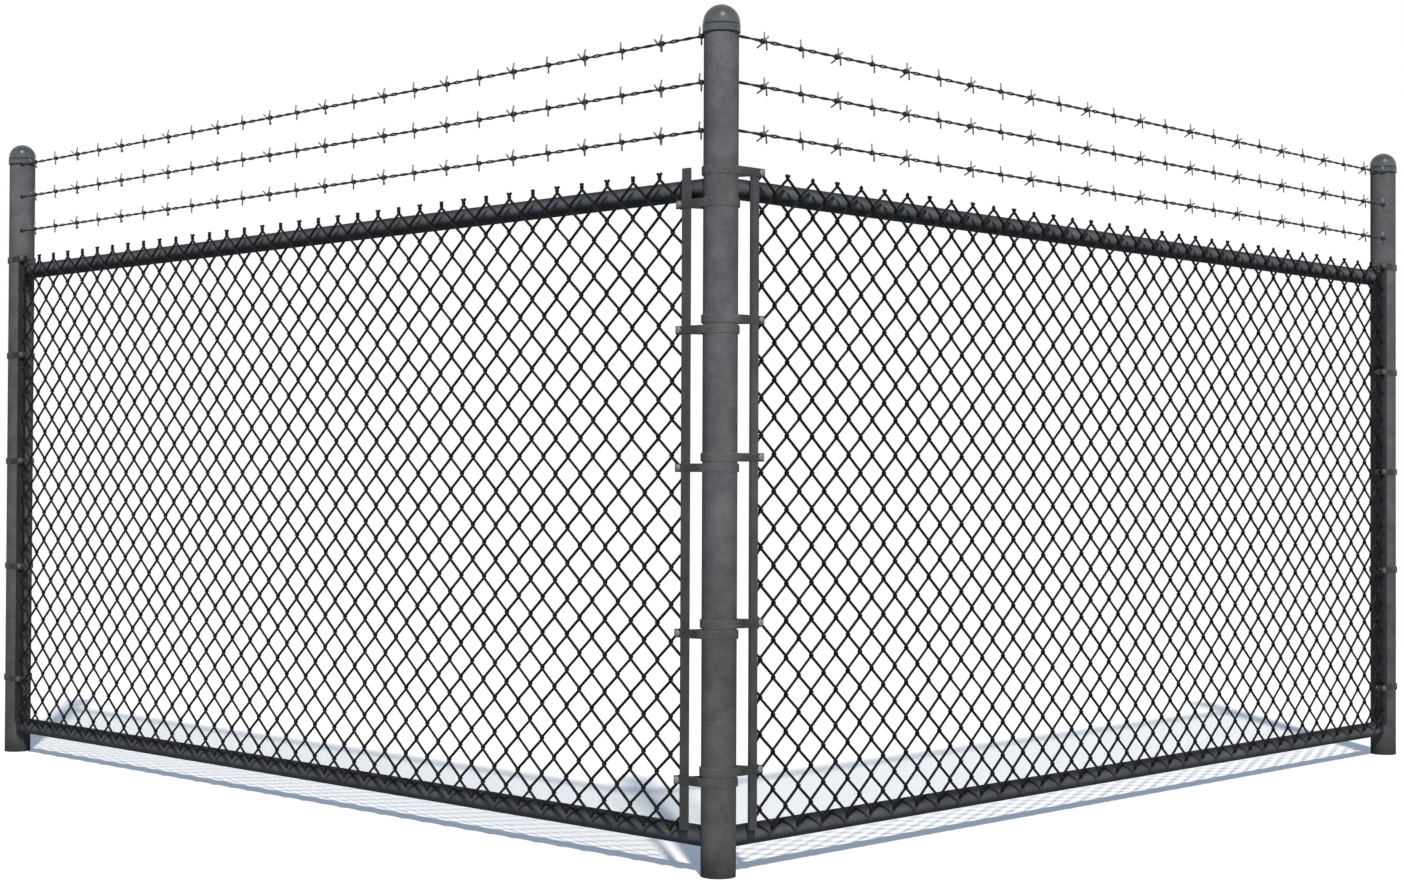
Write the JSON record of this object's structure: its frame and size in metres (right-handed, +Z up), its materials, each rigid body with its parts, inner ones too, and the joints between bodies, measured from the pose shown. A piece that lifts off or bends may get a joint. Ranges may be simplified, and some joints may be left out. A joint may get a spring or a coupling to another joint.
{
  "type": "chain link fence corner",
  "caption": "Outside corner of chain link fence: round posts with dome caps, rails, woven wire fabric on tension bars and bands, barbed wire above.",
  "frame": {"origin": "centre of the corner post's foot, on the ground", "axes": "+X along the right panel, +Y along the left panel, +Z up; the fabric is on the outer sides, -Y and -X"},
  "size_m": [2.8343, 2.8343, 1.7199],
  "materials": {
    "dark_painted_steel": "dark charcoal coating, faintly mottled, dull satin",
    "dark_cap_metal": "dark charcoal cast cap, dull satin with a soft highlight",
    "band_steel": "dark charcoal coating on flat strap and bar, dull",
    "mesh_wire": "near-black coated wire, satin",
    "barbed_wire": "dark grey weathered wire"
  },
  "bodies": {
    "root": {"corner_post": "dark_painted_steel", "right_end_post": "dark_painted_steel", "left_end_post": "dark_painted_steel", "post_caps": "dark_cap_metal", "right_corner_bands": "band_steel", "right_end_bands": "band_steel", "right_top_rail": "dark_painted_steel", "right_bottom_rail": "dark_painted_steel", "right_corner_tension_bar": "band_steel", "right_end_tension_bar": "band_steel", "right_fabric_outer_wires": "mesh_wire", "right_fabric_inner_wires": "mesh_wire", "right_lower_barbed_strand": "barbed_wire", "right_middle_barbed_strand": "barbed_wire", "right_upper_barbed_strand": "barbed_wire", "right_barbs": "barbed_wire", "left_corner_bands": "band_steel", "left_end_bands": "band_steel", "left_top_rail": "dark_painted_steel", "left_bottom_rail": "dark_painted_steel", "left_corner_tension_bar": "band_steel", "left_end_tension_bar": "band_steel", "left_fabric_outer_wires": "mesh_wire", "left_fabric_inner_wires": "mesh_wire", "left_lower_barbed_strand": "barbed_wire", "left_middle_barbed_strand": "barbed_wire", "left_upper_barbed_strand": "barbed_wire", "left_barbs": "barbed_wire"}
  },
  "joints": []
}
